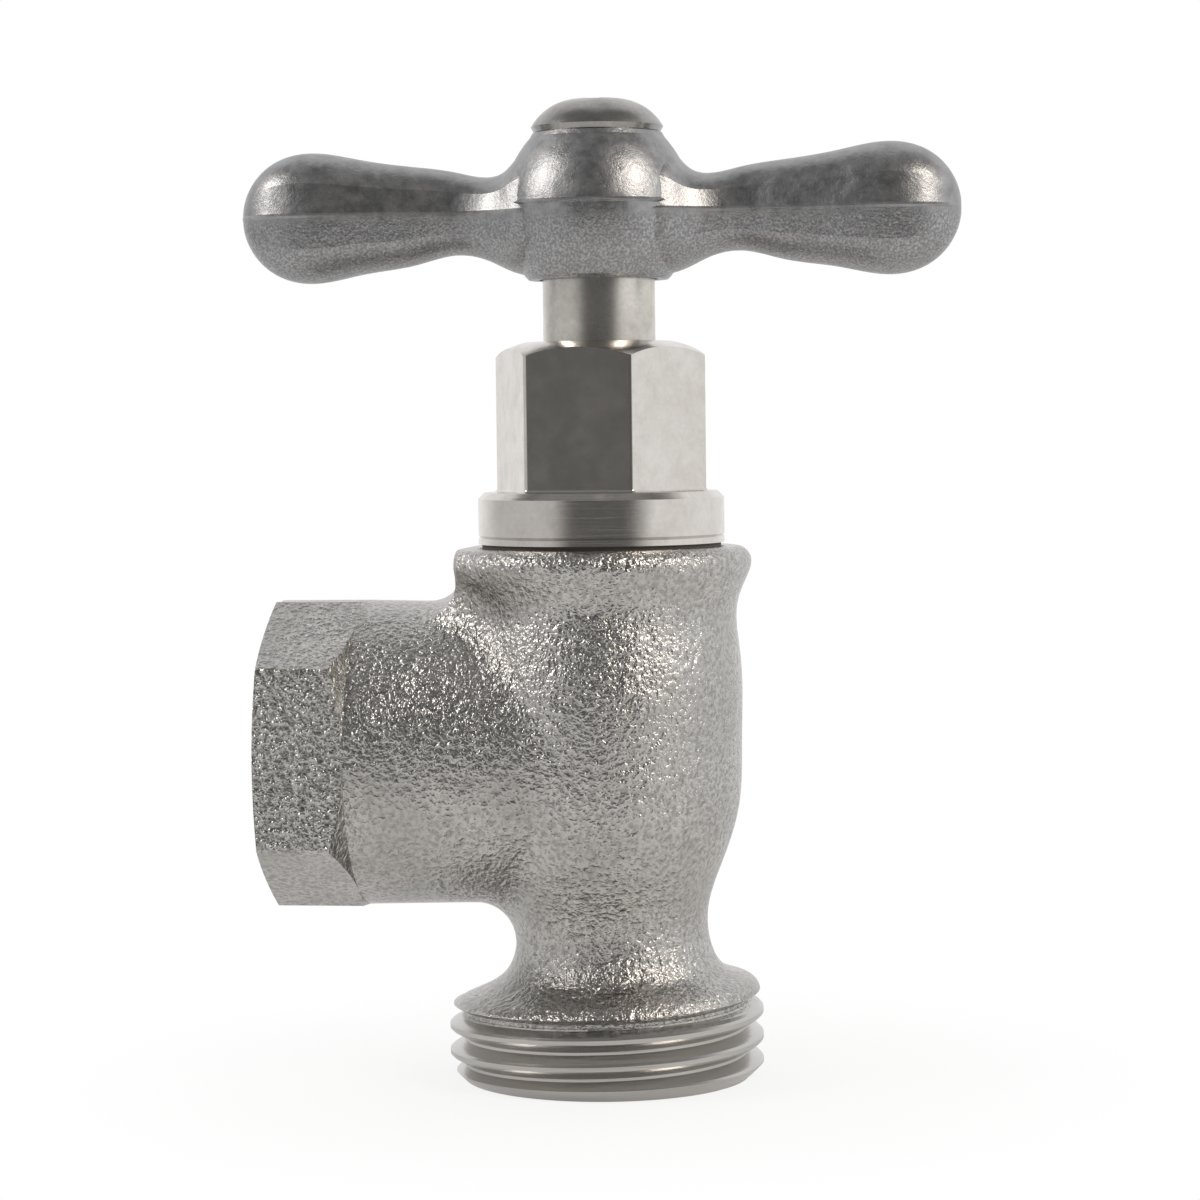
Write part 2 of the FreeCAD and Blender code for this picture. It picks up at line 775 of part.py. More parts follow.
def make_gasket():
    body = new_body("bonnet_gasket")
    inner, outer = "bonnet_thread_d / 2 + loose_fit / 2", "collar_d / 2 - gasket_inset"
    turned(body, "gasket", ring_outline(inner, outer, "boss_top", GASKET_TOP))
    return body


def ring_groove(middle):
    """The stem's outline down and up one O-ring groove."""
    stem, bottom = "stem_d / 2", "stem_d / 2 - ring_groove_depth"
    low, high = f"{middle} - ring_groove_width / 2", f"{middle} + ring_groove_width / 2"
    return [(stem, low), (bottom, low), (bottom, high), (stem, high)]


def add_stem_bar(body):
    """The turned bar: foot, waist, lift thread's blank, and the rod with two grooves."""
    foot, waist, blank, rod = "foot_d / 2", "waist_d / 2", "lift_thread_d / 2", "stem_d / 2"
    root = f"{blank} - lift_depth"
    corners = [
        ("0", STEM_FOOT),
        (foot, STEM_FOOT),
        (foot, f"{STEM_FOOT} + foot_height - thread_lead"),
        (waist, f"{STEM_FOOT} + foot_height"),
        (waist, f"{LIFT_FOOT} - thread_lead"),
        (root, LIFT_FOOT),
        (blank, f"{LIFT_FOOT} + lift_depth / 2"),
        (blank, f"{LIFT_TOP} - lift_depth / 2"),
        (root, LIFT_TOP),
        (rod, LIFT_TOP),
        *ring_groove(LOW_RING),
        *ring_groove(HIGH_RING),
        (rod, DRIVE_SHOULDER),
        ("0", DRIVE_SHOULDER),
    ]
    return turned(body, "bar", corners)


def drive_corners(fit):
    """A square with its corners cut off, wider on every side by the fit."""
    side = f"(drive_flats / 2 + {fit})"
    reach = f"(sqrt(drive_corner_d^2 - drive_flats^2) / 2 + {fit})"
    first = [(side, f"-{reach}"), (side, reach), (reach, side), (f"-{reach}", side)]
    return first + [(f"-{x}", f"-{y}") for x, y in first]


def add_drive(body):
    """The square end that turns with the handle."""
    sketch = new_sketch(body, "drive_outline", "XY_Plane", DRIVE_SHOULDER)
    outline(sketch, drive_corners("0"))
    return padded(body, "drive", sketch, "hub_height - drive_recess - drive_short")


def add_stem_holes(body):
    """The hole for the handle's screw, and the foot's bore with the clip's groove."""
    screw = "screw_d / 2 + thread_fit"
    top = f"{HANDLE_TOP} - drive_short"
    bottom = f"{HANDLE_TOP} - screw_length - cut_over"
    turned(body, "screw_hole", [
        ("0", f"{top} + cut_over"),
        ("0", f"{bottom} - {screw}"),
        (screw, bottom),
        (screw, f"{top} + cut_over"),
    ], cut=True)
    spigot = "spigot_d / 2 + running_fit"
    low, high = clip_groove_ends()
    end = f"{HOLDER_TOP} + spigot_length + cut_over"
    return turned(body, "foot_bore", [
        ("0", f"{STEM_FOOT} - cut_over"),
        (spigot, f"{STEM_FOOT} - cut_over"),
        (spigot, low),
        (f"{spigot} + clip_bite", low),
        (f"{spigot} + clip_bite", high),
        (spigot, high),
        (spigot, end),
        ("0", f"{end} + {spigot}"),
    ], cut=True)


def clip_groove_ends():
    half = "(clip_thick / 2 + running_fit)"
    return f"{CLIP_MIDDLE} - {half}", f"{CLIP_MIDDLE} + {half}"


def add_stem_thread(body):
    """The stem's lift thread, right-handed, so that opening turns the handle anticlockwise."""
    base = "lift_thread_d / 2 + helix_over"
    tip = "lift_thread_d / 2 - lift_depth"
    middle = f"{LIFT_FOOT} - 2 * lift_pitch"
    base_half = f"lift_root_half + (lift_depth + helix_over) * {LIFT_FLANK_TAN}"
    corners = lift_groove(base, tip, base_half, "lift_root_half", middle)
    return screw_thread(body, "stem_thread", corners, "lift_pitch", "lift_turns * lift_pitch")


def make_stem():
    body = new_body("stem")
    add_stem_bar(body)
    add_drive(body)
    add_stem_holes(body)
    add_stem_thread(body)
    return body


def make_o_ring(label, middle):
    """A seal as it lies squeezed between its groove and the bonnet's bore."""
    body = new_body(label)
    inner = "stem_d / 2 - ring_groove_depth + seal_gap"
    outer = "stem_d / 2 + running_fit - seal_gap"
    centre = f"({inner} + {outer}) / 2"
    low, high = f"{middle} - ring_flat / 2", f"{middle} + ring_flat / 2"
    corners = [(inner, low), (outer, low), (outer, high), (inner, high)]
    bulges = {0: (centre, f"{middle} - ring_width / 2"), 2: (centre, f"{middle} + ring_width / 2")}
    turned(body, "seal", corners, bulges)
    return body


def make_washer_holder():
    """The swivel disc: a cup for the washer below, a spigot into the stem's foot above."""
    body = new_body("washer_holder")
    hole, cup = "washer_screw_d / 2 + thread_fit", "holder_d / 2 - holder_wall"
    disc, spigot = "holder_d / 2", "spigot_d / 2"
    low, high = clip_groove_ends()
    end = f"{HOLDER_TOP} + spigot_length"
    corners = [
        (hole, HOLDER_BOTTOM),
        (cup, HOLDER_BOTTOM),
        (cup, f"{HOLDER_BOTTOM} - holder_rim"),
        (disc, f"{HOLDER_BOTTOM} - holder_rim"),
        (disc, f"{HOLDER_TOP} - holder_wall"),
        (f"{disc} - holder_wall", HOLDER_TOP),
        (spigot, HOLDER_TOP),
        (spigot, low),
        (f"{spigot} - clip_bite", low),
        (f"{spigot} - clip_bite", high),
        (spigot, high),
        (spigot, f"{end} - holder_wall"),
        (f"{spigot} - holder_wall", end),
        (hole, end),
    ]
    turned(body, "swivel", corners)
    return body


def make_swivel_clip():
    """A split spring ring, half in the spigot's groove and half in the stem's."""
    body = new_body("swivel_clip")
    sketch = new_sketch(body, "clip_outline", "XY_Plane", f"{CLIP_MIDDLE} - clip_thick / 2")
    inner = "(spigot_d / 2 - clip_bite + running_fit)"
    outer = "(spigot_d / 2 + clip_bite)"
    gap = "clip_gap / 2"
    ends = [f"sqrt({reach}^2 - ({gap})^2)" for reach in (outer, inner)]
    corners = [(ends[0], gap), (ends[0], f"-{gap}"), (ends[1], f"-{gap}"), (ends[1], gap)]
    outline(sketch, corners, {0: (f"-{outer}", "0"), 2: (f"-{inner}", "0")})
    padded(body, "clip", sketch, "clip_thick")
    return body


def make_seat_washer():
    body = new_body("seat_washer")
    inner = "washer_screw_d / 2 + loose_fit / 2"
    outer = "holder_d / 2 - holder_wall - running_fit"
    turned(body, "washer", ring_outline(inner, outer, "seat_height", HOLDER_BOTTOM))
    return body


def make_washer_screw():
    """A slotted pan-head screw, its head under the washer inside the seat's bore."""
    body = new_body("washer_screw")
    shank, head = "washer_screw_d / 2", "washer_head_d / 2"
    bottom = "seat_height - washer_head_height"
    end = "seat_height + washer_screw_length"
    corners = [
        ("0", bottom),
        (f"{head} - washer_head_height / 2", bottom),
        (head, f"{bottom} + washer_head_height / 2"),
        (head, "seat_height"),
        (shank, "seat_height"),
        (shank, f"{end} - thread_lead / 2"),
        (f"{shank} - thread_lead / 2", end),
        ("0", end),
    ]
    turned(body, "pan_screw", corners)
    slot = new_sketch(body, "slot_outline", "XY_Plane", bottom)
    long, half = "washer_head_d", "slot_width / 2"
    outline(slot, [(long, f"-{half}"), (long, half), (f"-{long}", half), (f"-{long}", f"-{half}")])
    pocketed(body, "slot", slot, "washer_head_height / 2", Reversed=True)
    return body


def add_hub(body):
    """The handle's hub: widest at the parting line's flash, with a crown under the screw."""
    foot, belt = "hub_foot_d / 2", "hub_belt_d / 2"
    shoulder, crown, top = "hub_shoulder_d / 2", "hub_crown_d / 2", "hub_top_d / 2"
    parting = f"{HANDLE_BOTTOM} + hub_belt_height"
    knee = f"{HANDLE_TOP} - hub_shoulder_drop"
    brow = f"{HANDLE_TOP} - hub_crown_drop"
    corners = [
        ("0", HANDLE_BOTTOM),
        (f"{foot} - thread_lead / 2", HANDLE_BOTTOM),
        (foot, f"{HANDLE_BOTTOM} + thread_lead / 2"),
        (belt, f"{parting} - flash_half"),
        (f"{belt} + flash_rise", parting),
        (belt, f"{parting} + flash_half"),
        (crown, brow),
        (top, HANDLE_TOP),
        ("0", HANDLE_TOP),
    ]
    bulges = {
        2: (f"({foot} + {belt}) / 2 + hub_round", f"({HANDLE_BOTTOM} + {parting}) / 2"),
        5: (shoulder, knee),
    }
    return turned(body, "hub", corners, bulges)


def arm_section(body, name, place, up, down, deep):
    """A section of an arm: drafted flanks with the parting line's flash, round above and below."""
    sketch = new_sketch(body, f"{name}_section", "YZ_Plane", place)
    middle, flash = ARM_MIDDLE, f"({deep}) + flash_rise"
    draft = f"({deep}) * (1 - flank_draft)"
    high, low = f"{middle} + ({up}) * flank_share", f"{middle} - ({down}) * flank_share"
    above, below = f"{middle} + flash_half", f"{middle} - flash_half"
    right = [(draft, low), (deep, below), (flash, middle), (deep, above), (draft, high)]
    left = [(f"-({x})", y) for x, y in reversed(right)]
    top, bottom = ("0", f"{middle} + ({up})"), ("0", f"{middle} - ({down})")
    outline(sketch, right + left, {4: top, 9: bottom})
    return sketch


def add_arms(body):
    """One arm from inside the hub to its round tip, and its mirror image."""
    sections = []
    for name in ("root", "flare", "neck", "scoop", "grip", "swell", "lobe"):
        sizes = [f"arm_{name}_{size}" for size in ("x", "up", "down", "deep")]
        sections.append(arm_section(body, f"arm_{name}", *sizes))
    for number, angle in enumerate(ARM_TIP_ANGLES, start=1):
        shrink = f"cos({angle})"
        place = f"arm_lobe_x + arm_tip_reach * sin({angle})"
        sizes = [f"arm_lobe_{size} * {shrink}" for size in ("up", "down", "deep")]
        sections.append(arm_section(body, f"arm_tip_{number}", place, *sizes))
    arm = feature(body, "AdditiveLoft", "arm", sections[0], Sections=sections[1:])
    doc.recompute()
    other = body.newObject("PartDesign::Mirrored", "other_arm")
    other.Originals = [arm]
    plane = next(part for part in body.Origin.OriginFeatures if part.Role == "YZ_Plane")
    other.MirrorPlane = (plane, [""])
    body.Tip = other
    return other


def add_handle_holes(body):
    """The recess round the stem's shoulder and the square hole for its drive."""
    wall = "stem_d / 2 + loose_fit"
    corners = [
        ("0", f"{HANDLE_BOTTOM} - cut_over"),
        (wall, f"{HANDLE_BOTTOM} - cut_over"),
        (wall, DRIVE_SHOULDER),
        ("0", DRIVE_SHOULDER),
    ]
    turned(body, "recess", corners, cut=True)
    sketch = new_sketch(body, "broach_outline", "XY_Plane", DRIVE_SHOULDER)
    outline(sketch, drive_corners("running_fit"))
    return pocketed(body, "broach", sketch, "hub_height", Reversed=True)


def make_handle():
    body = new_body("handle")
    add_hub(body)
    add_arms(body)
    add_handle_holes(body)
    return body


def make_handle_screw():
    """A truss-head screw with a cross recess."""
    body = new_body("handle_screw")
    shank, head, flat = "screw_d / 2", "screw_head_d / 2", "screw_head_flat_d / 2"
    end, top = f"{HANDLE_TOP} - screw_length", f"{HANDLE_TOP} + screw_head_height"
    corners = [
        ("0", end),
        (f"{shank} - thread_lead / 2", end),
        (shank, f"{end} + thread_lead / 2"),
        (shank, HANDLE_TOP),
        (f"{head} - screw_head_lip / 2", HANDLE_TOP),
        (head, f"{HANDLE_TOP} + screw_head_lip"),
        (flat, top),
        ("0", top),
    ]
    dome = f"({head} + {flat}) / 2 + screw_dome_round"
    dome_height = f"({HANDLE_TOP} + screw_head_lip + {top}) / 2 + screw_dome_round"
    turned(body, "truss_screw", corners, {5: (dome, dome_height)})
    cross = new_sketch(body, "cross_outline", "XY_Plane", top)
    far, near = "recess_length / 2", "recess_width / 2"
    arm = [(far, f"-({near})"), (far, near), (near, near)]
    upper = [(near, far), (f"-({near})", far), (f"-({near})", near)]
    left = [(f"-({x})", f"-({y})") for x, y in arm]
    lower = [(f"-({x})", f"-({y})") for x, y in upper]
    outline(cross, arm + upper + left + lower)
    pocketed(body, "cross", cross, "recess_depth")
    return body


def make_nodes():
    return [
        make_valve_body(),
        make_bonnet(),
        make_gasket(),
        make_stem(),
        make_o_ring("lower_o_ring", LOW_RING),
        make_o_ring("upper_o_ring", HIGH_RING),
        make_washer_holder(),
        make_swivel_clip(),
        make_seat_washer(),
        make_washer_screw(),
        make_handle(),
        make_handle_screw(),
    ]


def check(body):
    """Stops the build on a broken feature or an empty or invalid piece."""
    for piece in (body, *body.Group):
        if {"Invalid", "Error"} & set(piece.State):
            raise RuntimeError(f"{body.Label}: {piece.Label} did not build")
    if body.Shape.isNull() or not body.Shape.isValid() or len(body.Shape.Solids) != 1:
        raise RuntimeError(f"{body.Label} is not one valid solid")


fill_sheet()
nodes = make_nodes()
doc.recompute()
for node in nodes:
    check(node)
os.makedirs("parts", exist_ok=True)
for node in nodes:
    node.Shape.exportStep(f"parts/{node.Label}.step")
    print(node.Label, round(node.Shape.Volume, 1), "mm3")
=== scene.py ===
import json
import math

import bpy
from mathutils import Matrix, Vector


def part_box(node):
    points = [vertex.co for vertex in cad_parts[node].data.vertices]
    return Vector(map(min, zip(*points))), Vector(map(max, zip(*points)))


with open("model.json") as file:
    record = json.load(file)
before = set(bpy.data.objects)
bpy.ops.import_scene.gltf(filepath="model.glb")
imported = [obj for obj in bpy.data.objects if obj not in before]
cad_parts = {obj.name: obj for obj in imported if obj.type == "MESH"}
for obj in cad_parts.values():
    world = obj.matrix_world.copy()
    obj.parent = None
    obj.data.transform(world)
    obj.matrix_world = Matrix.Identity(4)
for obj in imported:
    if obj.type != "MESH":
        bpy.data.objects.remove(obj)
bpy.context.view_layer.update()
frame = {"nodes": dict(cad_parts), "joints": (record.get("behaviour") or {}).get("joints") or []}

# The hose bibb's looks. The frame is in metres; sizes here are in millimetres and MM turns them.
MM = 0.001

# The stem's axis and the ends of some pieces, from the frame
STEM_X = next(joint["pos_m"][0] for joint in frame["joints"] if joint["type"] == "hinge") / MM
HANDLE_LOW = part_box("handle")[0][2] / MM
GASKET_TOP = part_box("bonnet_gasket")[1][2] / MM
OUTLET_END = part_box("valve_body")[0][2] / MM

# Where a finish starts or ends, above a piece's end or out from an axis
COLLAR_HEIGHT = 4.35
HANDLE_LOWER_HALF = 5.5
HOSE_THREAD_HEIGHT = 6.2
TURNED_END_HEIGHT = 5.0
THREAD_ROOT_R = 12.4
WATERWAY_R = 5.9
CHAMBER_R = 9.0
CHAMBER_FLOOR = -7.4
INLET_THREAD_R = 10.6
INLET_DEPTH = 16.0
PAD_LENGTH = 7.4
PAD_FACE_HALF = 7.6
CUT_EDGE = 0.3

# How far apart the spots or lines of each pattern lie. Lathe lines are drawn coarser than the
# tool's real feed, which is too fine to show.
CAST_GRAIN = 0.38
CAST_PITS = 0.8
CAST_LUMPS = 3.2
CAST_PATCHES = 6.0
CUT_LINES = 0.3
STAIN_SIZE = 2.2
STAIN_SPECKS = 0.35
ZINC_MOTTLE = 1.3
ZINC_SPECKS = 0.2
HIDDEN_GRAIN = 0.4

# How deep each relief is
CAST_DEPTH = 0.3
CUT_DEPTH = 0.03
ZINC_MOTTLE_DEPTH = 0.07
ZINC_SPECK_DEPTH = 0.03
HIDDEN_DEPTH = 0.02

# Rings round the stem: noise drawn out across the axis by fifty times
RING_SQUEEZE = (0.02, 0.02, 1)

# The light tent, where 1 is white: its walls, its dim roof and the dark gap where the camera
# stands. Angles are in degrees round from the camera, towards the right, and a rise is a
# direction's share upwards.
LEFT_LEVEL = 0.66
RIGHT_LEVEL = 1.0
GAP_LEVEL = 0.12
GAP_LEFT = (-45.0, -31.0)
GAP_RIGHT = (28.0, 50.0)
BEHIND = (112.0, 142.0)
ROOF_LEVEL = 0.24
ROOF_RISE = (0.55, 0.85)
BACKDROP_RISE = 0.35
SIDES_MEET = 20.0

# The floor: its size, the shade under the outlet and how much of its white the metal sees
FLOOR_RADIUS = 200.0
FLOOR_SHADE = 0.15
FLOOR_IN_METAL = 0.4
SHADE_EDGE = (14.0, 48.0)

# The camera: how far it stands from the stem, how high, how far round to the right, and its roll
CAMERA_REACH = 290.0
CAMERA_HEIGHT = 28.0
CAMERA_AZIMUTH = 7.5
CAMERA_ROLL = 0.65
VIEW_WIDTH = 102.1
VIEW_CENTRE_X = 27.45
VIEW_CENTRE_Z = 12.95


def linear(code):
    """An sRGB hex colour as the linear one that a shader takes."""
    channels = [int(code[start:start + 2], 16) / 255 for start in (1, 3, 5)]
    lit = [c / 12.92 if c <= 0.04045 else ((c + 0.055) / 1.055) ** 2.4 for c in channels]
    return (*lit, 1.0)


def fill(tree, socket, given):
    """Gives a socket a value, a hex colour, or a link from a node or another socket."""
    if isinstance(given, bpy.types.Node):
        given = next(output for output in given.outputs if output.enabled)
    if isinstance(given, bpy.types.NodeSocket):
        tree.links.new(given, socket)
    else:
        socket.default_value = linear(given) if isinstance(given, str) else given


def add(tree, kind, **given):
    """Adds a node. Names in small letters are its settings. The others are its sockets, where
    a list fills the sockets that share a name."""
    node = tree.nodes.new(f"ShaderNode{kind}")
    for name in filter(str.islower, given):
        setattr(node, name, given[name])
    for name in given:
        values = given[name] if isinstance(given[name], list) else [given[name]]
        sockets = [s for s in node.inputs if s.enabled and s.name == name.replace("_", " ")]
        for socket, value in zip(sockets, values):
            fill(tree, socket, value)
    return node


def new_material(name, **shader):
    """A material with its shader's constant sockets set. Returns it, its tree and the shader."""
    material = bpy.data.materials.new(name)
    material.use_nodes = True
    tree = material.node_tree
    bsdf = tree.nodes["Principled BSDF"]
    for socket, given in shader.items():
        fill(tree, bsdf.inputs[socket.replace("_", " ")], given)
    return material, tree, bsdf


def about_stem(tree, squeeze=(1, 1, 1)):
    """Object coordinates in millimetres about the stem's axis, squeezed for a drawn-out grain."""
    where = add(tree, "TexCoord").outputs["Object"]
    scale = tuple(share / MM for share in squeeze)
    return add(tree, "Mapping", Vector=where, Location=(-STEM_X * squeeze[0], 0, 0), Scale=scale)


def from_axis(tree, across, along):
    """How far a point lies from an axis, from its two coordinates across it."""
    flat = add(tree, "CombineXYZ", X=across, Y=along)
    return add(tree, "VectorMath", operation="LENGTH", Vector=[flat])


def lathe_lines(tree, spacing):
    """Uneven rings round the stem's axis, as a lathe tool leaves them."""
    rings = about_stem(tree, RING_SQUEEZE)
    return add(tree, "TexNoise", Vector=rings, Scale=1 / spacing, Detail=2.0, Roughness=0.7)


def turned_places(tree, where):
    """Where the casting was cut on a lathe: hose thread, outlet, waterway and pipe bore."""
    x, y, z = add(tree, "SeparateXYZ", Vector=where).outputs
    stem_r, inlet_r = from_axis(tree, x, y), from_axis(tree, y, z)
    thread_top = OUTLET_END + HOSE_THREAD_HEIGHT
    end_top = OUTLET_END + TURNED_END_HEIGHT
    depth = INLET_DEPTH - STEM_X
    edges = {
        "thread_height": (z, thread_top + 0.5, thread_top - 0.2),
        "thread_radius": (stem_r, THREAD_ROOT_R - 0.2, THREAD_ROOT_R),
        "end": (z, end_top + CUT_EDGE, end_top),
        "waterway": (stem_r, WATERWAY_R + CUT_EDGE, WATERWAY_R),
        "chamber_radius": (stem_r, CHAMBER_R + CUT_EDGE, CHAMBER_R),
        "chamber_height": (z, CHAMBER_FLOOR - CUT_EDGE, CHAMBER_FLOOR),
        "pipe_radius": (inlet_r, INLET_THREAD_R + CUT_EDGE, INLET_THREAD_R),
        "pipe_depth": (x, depth + CUT_EDGE, depth),
    }
    cuts = {name: add(tree, "MapRange", Value=reach, From_Min=out, From_Max=inside)
            for name, (reach, out, inside) in edges.items()}
    turned = add(tree, "Math", operation="MAXIMUM", Value=[cuts["end"], cuts["waterway"]])
    for one, other in (("thread_height", "thread_radius"), ("chamber_radius", "chamber_height"),
                       ("pipe_radius", "pipe_depth")):
        both = add(tree, "Math", operation="MULTIPLY", Value=[cuts[one], cuts[other]])
        turned = add(tree, "Math", operation="MAXIMUM", Value=[turned, both])
    return turned


def wrench_faces(tree, where):
    """Where the pad's upright faces are: they kept the mould's coarser, darker skin."""
    x, _, z = add(tree, "SeparateXYZ", Vector=where).outputs
    edge = PAD_LENGTH - STEM_X
    height = add(tree, "Math", operation="ABSOLUTE", Value=z)
    along = add(tree, "MapRange", Value=x, From_Min=edge, From_Max=edge - 0.6)
    between = add(tree, "MapRange", Value=height,
                  From_Min=PAD_FACE_HALF, From_Max=PAD_FACE_HALF - 1)
    return add(tree, "Math", operation="MULTIPLY", Value=[along, between])


def casting_colour(tree, grain, patches, faces, turned):
    """A warm silver with duller patches and darker wrench faces, with painted shade in its pits."""
    duller = add(tree, "MapRange", Value=patches, From_Min=0.35, From_Max=0.65)
    plate = add(tree, "Mix", data_type="RGBA", Factor=duller, A="#c4c2bf", B="#b6b4b1")
    # Painted shade: where the grain is low, in its pits, the skin and the duller wrench faces are
    # coloured darker.
    pit_shade = add(tree, "MapRange", Value=grain, From_Min=0.36, From_Max=0.58)
    skin = add(tree, "Mix", data_type="RGBA", Factor=pit_shade, A="#a09e9b", B=plate)
    dull_face = add(tree, "Mix", data_type="RGBA", Factor=pit_shade, A="#82817f", B="#bfbebc")
    silver = add(tree, "Mix", data_type="RGBA", Factor=faces, A=skin, B=dull_face)
    return add(tree, "Mix", data_type="RGBA", Factor=turned, A=silver, B="#bcbab7")


def casting_relief(tree, where, grain, faces, turned):
    """Lumps from the sand, then its grain, and lathe lines where a tool cut them away."""
    pits = add(tree, "TexNoise", Vector=where, Scale=1 / CAST_PITS, Detail=2.0, Roughness=0.6)
    lumps = add(tree, "TexNoise", Vector=where, Scale=1 / CAST_LUMPS, Detail=2.0)
    cast = add(tree, "Math", operation="SUBTRACT", Value=[1.0, turned])
    shallow = add(tree, "Math", operation="MULTIPLY", Value=[pits, 0.7])
    relief = add(tree, "Math", operation="ADD", Value=[grain, shallow])
    depth = add(tree, "MapRange", Value=faces, To_Min=0.75, To_Max=1.0)
    deep = add(tree, "Math", operation="MULTIPLY", Value=[relief, depth])
    waves = add(tree, "Math", operation="MULTIPLY", Value=[lumps, cast])
    sandy = add(tree, "Math", operation="MULTIPLY", Value=[deep, cast])
    lines = add(tree, "Math", operation="MULTIPLY", Value=[lathe_lines(tree, CUT_LINES), turned])
    normal = add(tree, "Bump", Height=waves, Distance=CAST_DEPTH * MM)
    normal = add(tree, "Bump", Height=sandy, Distance=CAST_DEPTH * MM, Normal=normal)
    return add(tree, "Bump", Height=lines, Distance=CUT_DEPTH * MM, Normal=normal)


def cast_nickel():
    """Sand-cast brass under nickel plate: a dense shallow grain that sparkles, and turned ends."""
    material, tree, bsdf = new_material("sand_cast_nickel_plate", Metallic=1.0)
    where = about_stem(tree)
    turned = turned_places(tree, where)
    faces = wrench_faces(tree, where)
    grain = add(tree, "TexNoise", Vector=where, Scale=1 / CAST_GRAIN, Detail=2.0, Roughness=0.5)
    patches = add(tree, "TexNoise", Vector=where, Scale=1 / CAST_PATCHES, Detail=2.0)
    rough = add(tree, "MapRange", Value=patches, From_Min=0.3, From_Max=0.7,
                To_Min=0.23, To_Max=0.29)
    smoother = add(tree, "Mix", Factor=turned, A=rough, B=0.25)
    fill(tree, bsdf.inputs["Base Color"], casting_colour(tree, grain, patches, faces, turned))
    fill(tree, bsdf.inputs["Roughness"], smoother)
    fill(tree, bsdf.inputs["Normal"], casting_relief(tree, where, grain, faces, turned))
    return material


def turned_nickel(name, colour, stain, rough, spacing, depth, lines_below=None):
    """Turned and nickel plated: satin, faintly stained, with lathe lines where it was turned."""
    material, tree, bsdf = new_material(name, Metallic=1.0)
    where = about_stem(tree)
    stains = add(tree, "TexNoise", Vector=where, Scale=1 / STAIN_SIZE, Detail=4.0, Roughness=0.6)
    specks = add(tree, "TexNoise", Vector=where, Scale=1 / STAIN_SPECKS, Detail=2.0)
    faint = add(tree, "Math", operation="MULTIPLY", Value=[specks, 0.35])
    mottled = add(tree, "Math", operation="ADD", Value=[stains, faint])
    stained = add(tree, "MapRange", Value=mottled, From_Min=0.5, From_Max=0.95)
    shade = add(tree, "Mix", data_type="RGBA", Factor=stained, A=colour, B=stain)
    fill(tree, bsdf.inputs["Base Color"], shade)
    worn = add(tree, "MapRange", Value=stains, From_Min=0.3, From_Max=0.7,
               To_Min=rough - 0.04, To_Max=rough + 0.06)
    fill(tree, bsdf.inputs["Roughness"], worn)
    rings = lathe_lines(tree, spacing)
    if lines_below is not None:
        z = add(tree, "SeparateXYZ", Vector=where).outputs["Z"]
        below = add(tree, "MapRange", Value=z, From_Min=lines_below + 0.2, From_Max=lines_below)
        rings = add(tree, "Math", operation="MULTIPLY", Value=[rings, below])
    fill(tree, bsdf.inputs["Normal"], add(tree, "Bump", Height=rings, Distance=depth * MM))
    return material


def die_cast_zinc():
    """Zinc die casting, tumbled and thinly plated: mottled grey, speckled on its lower half."""
    material, tree, bsdf = new_material("die_cast_zinc", Metallic=1.0)
    where = about_stem(tree)
    z = add(tree, "SeparateXYZ", Vector=where).outputs["Z"]
    parting_line = HANDLE_LOW + HANDLE_LOWER_HALF
    below = add(tree, "MapRange", Value=z, From_Min=parting_line, From_Max=parting_line - 0.8)
    mottle = add(tree, "TexNoise", Vector=where, Scale=1 / ZINC_MOTTLE, Detail=5.0, Roughness=0.7)
    specks = add(tree, "TexNoise", Vector=where, Scale=1 / ZINC_SPECKS, Detail=2.0)
    cloudy = add(tree, "MapRange", Value=mottle, From_Min=0.35, From_Max=0.62)
    upper = add(tree, "Mix", data_type="RGBA", Factor=cloudy, A="#8a8a8b", B="#a4a4a5")
    bright = add(tree, "MapRange", Value=specks, From_Min=0.4, From_Max=0.7)
    lower = add(tree, "Mix", data_type="RGBA", Factor=bright, A="#868688", B="#b2b2b3")
    shade = add(tree, "Mix", data_type="RGBA", Factor=below, A=upper, B=lower)
    fill(tree, bsdf.inputs["Base Color"], shade)
    rough = add(tree, "MapRange", Value=mottle, From_Min=0.3, From_Max=0.7,
                To_Min=0.33, To_Max=0.42)
    fill(tree, bsdf.inputs["Roughness"], rough)
    grainy = add(tree, "MapRange", Value=below, To_Min=0.3, To_Max=1.0)
    grain = add(tree, "Math", operation="MULTIPLY", Value=[specks, grainy])
    normal = add(tree, "Bump", Height=mottle, Distance=ZINC_MOTTLE_DEPTH * MM)
    normal = add(tree, "Bump", Height=grain, Distance=ZINC_SPECK_DEPTH * MM, Normal=normal)
    fill(tree, bsdf.inputs["Normal"], normal)
    return material


def hidden_finish(name, colour, rough, metallic=0.0):
    """An inner piece's finish: its colour with a fine moulded or machined grain."""
    material, tree, bsdf = new_material(name, Metallic=metallic)
    where = about_stem(tree)
    grain = add(tree, "TexNoise", Vector=where, Scale=1 / HIDDEN_GRAIN, Detail=3.0, Roughness=0.6)
    shaded = add(tree, "MapRange", Value=grain, From_Min=0.3, From_Max=0.7, To_Max=0.25)
    shade = add(tree, "Mix", data_type="RGBA", Factor=shaded, A=colour, B="#101010")
    fill(tree, bsdf.inputs["Base Color"], shade)
    worn = add(tree, "MapRange", Value=grain, From_Min=0.3, From_Max=0.7,
               To_Min=rough - 0.05, To_Max=rough + 0.05)
    fill(tree, bsdf.inputs["Roughness"], worn)
    bumps = add(tree, "Bump", Height=grain, Distance=HIDDEN_DEPTH * MM)
    fill(tree, bsdf.inputs["Normal"], bumps)
    return material


def dress(material, *nodes):
    """Gives CAD nodes their finish."""
    for node in nodes:
        piece = frame["nodes"][node]
        piece.data.materials.clear()
        piece.data.materials.append(material)


